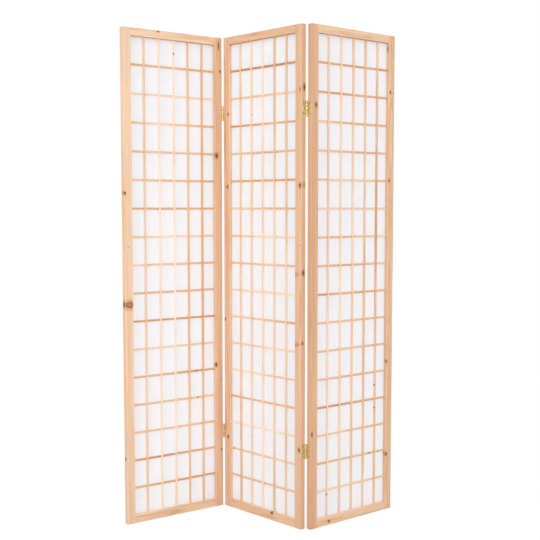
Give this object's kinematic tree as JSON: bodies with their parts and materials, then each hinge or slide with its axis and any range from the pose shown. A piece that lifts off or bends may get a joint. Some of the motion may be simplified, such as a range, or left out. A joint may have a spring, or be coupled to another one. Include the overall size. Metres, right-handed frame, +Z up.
{
  "type": "folding room divider",
  "caption": "Folding screen of hinged pine lattice panels with white paper behind the slats, standing in a zigzag on its lower edges.",
  "frame": {"origin": "on the floor, below the middle of the standing screen's bounding box", "axes": "+Z up, +X to the right and -Y towards the front, from which the left fold is the far one"},
  "size_m": [0.9446, 0.3118, 1.7],
  "materials": {
    "pine_frame": "satin",
    "pine_slats": "satin",
    "beech_dowels": "matte",
    "paper": "matte",
    "brass_hinges": "satin",
    "brass_screws": "satin"
  },
  "bodies": {
    "left_panel": {"left_panel_left_stile": "pine_frame", "left_panel_right_stile": "pine_frame", "left_panel_top_rail": "pine_frame", "left_panel_bottom_rail": "pine_frame", "left_panel_upright_1": "pine_slats", "left_panel_upright_2": "pine_slats", "left_panel_upright_3": "pine_slats", "left_panel_upright_4": "pine_slats", "left_panel_upright_5": "pine_slats", "left_panel_crossbars": "pine_slats", "left_panel_paper": "paper", "left_panel_dowels": "beech_dowels", "left_lower_hinge_outer_leaf": "brass_hinges", "left_lower_hinge_outer_screws": "brass_screws", "left_upper_hinge_outer_leaf": "brass_hinges", "left_upper_hinge_outer_screws": "brass_screws"},
    "middle_panel": {"middle_panel_left_stile": "pine_frame", "middle_panel_right_stile": "pine_frame", "middle_panel_top_rail": "pine_frame", "middle_panel_bottom_rail": "pine_frame", "middle_panel_upright_1": "pine_slats", "middle_panel_upright_2": "pine_slats", "middle_panel_upright_3": "pine_slats", "middle_panel_upright_4": "pine_slats", "middle_panel_upright_5": "pine_slats", "middle_panel_crossbars": "pine_slats", "middle_panel_paper": "paper", "middle_panel_dowels": "beech_dowels", "left_lower_hinge_inner_leaf": "brass_hinges", "left_lower_hinge_pin": "brass_hinges", "left_lower_hinge_inner_screws": "brass_screws", "left_upper_hinge_inner_leaf": "brass_hinges", "left_upper_hinge_pin": "brass_hinges", "left_upper_hinge_inner_screws": "brass_screws", "right_lower_hinge_inner_leaf": "brass_hinges", "right_lower_hinge_pin": "brass_hinges", "right_lower_hinge_inner_screws": "brass_screws", "right_upper_hinge_inner_leaf": "brass_hinges", "right_upper_hinge_pin": "brass_hinges", "right_upper_hinge_inner_screws": "brass_screws"},
    "right_panel": {"right_panel_left_stile": "pine_frame", "right_panel_right_stile": "pine_frame", "right_panel_top_rail": "pine_frame", "right_panel_bottom_rail": "pine_frame", "right_panel_upright_1": "pine_slats", "right_panel_upright_2": "pine_slats", "right_panel_upright_3": "pine_slats", "right_panel_upright_4": "pine_slats", "right_panel_upright_5": "pine_slats", "right_panel_crossbars": "pine_slats", "right_panel_paper": "paper", "right_panel_dowels": "beech_dowels", "right_lower_hinge_outer_leaf": "brass_hinges", "right_lower_hinge_outer_screws": "brass_screws", "right_upper_hinge_outer_leaf": "brass_hinges", "right_upper_hinge_outer_screws": "brass_screws"}
  },
  "joints": [
    {"name": "left_fold", "type": "hinge", "parent": "middle_panel", "child": "left_panel", "pos_m": [-0.13826, 0.14193, 0.85], "axis": [0, 0, 1], "range_deg": [-84.2, 95.8]},
    {"name": "right_fold", "type": "hinge", "parent": "middle_panel", "child": "right_panel", "pos_m": [0.15318, -0.14294, 0.85], "axis": [0, 0, 1], "range_deg": [-87.8, 92.2]}
  ]
}
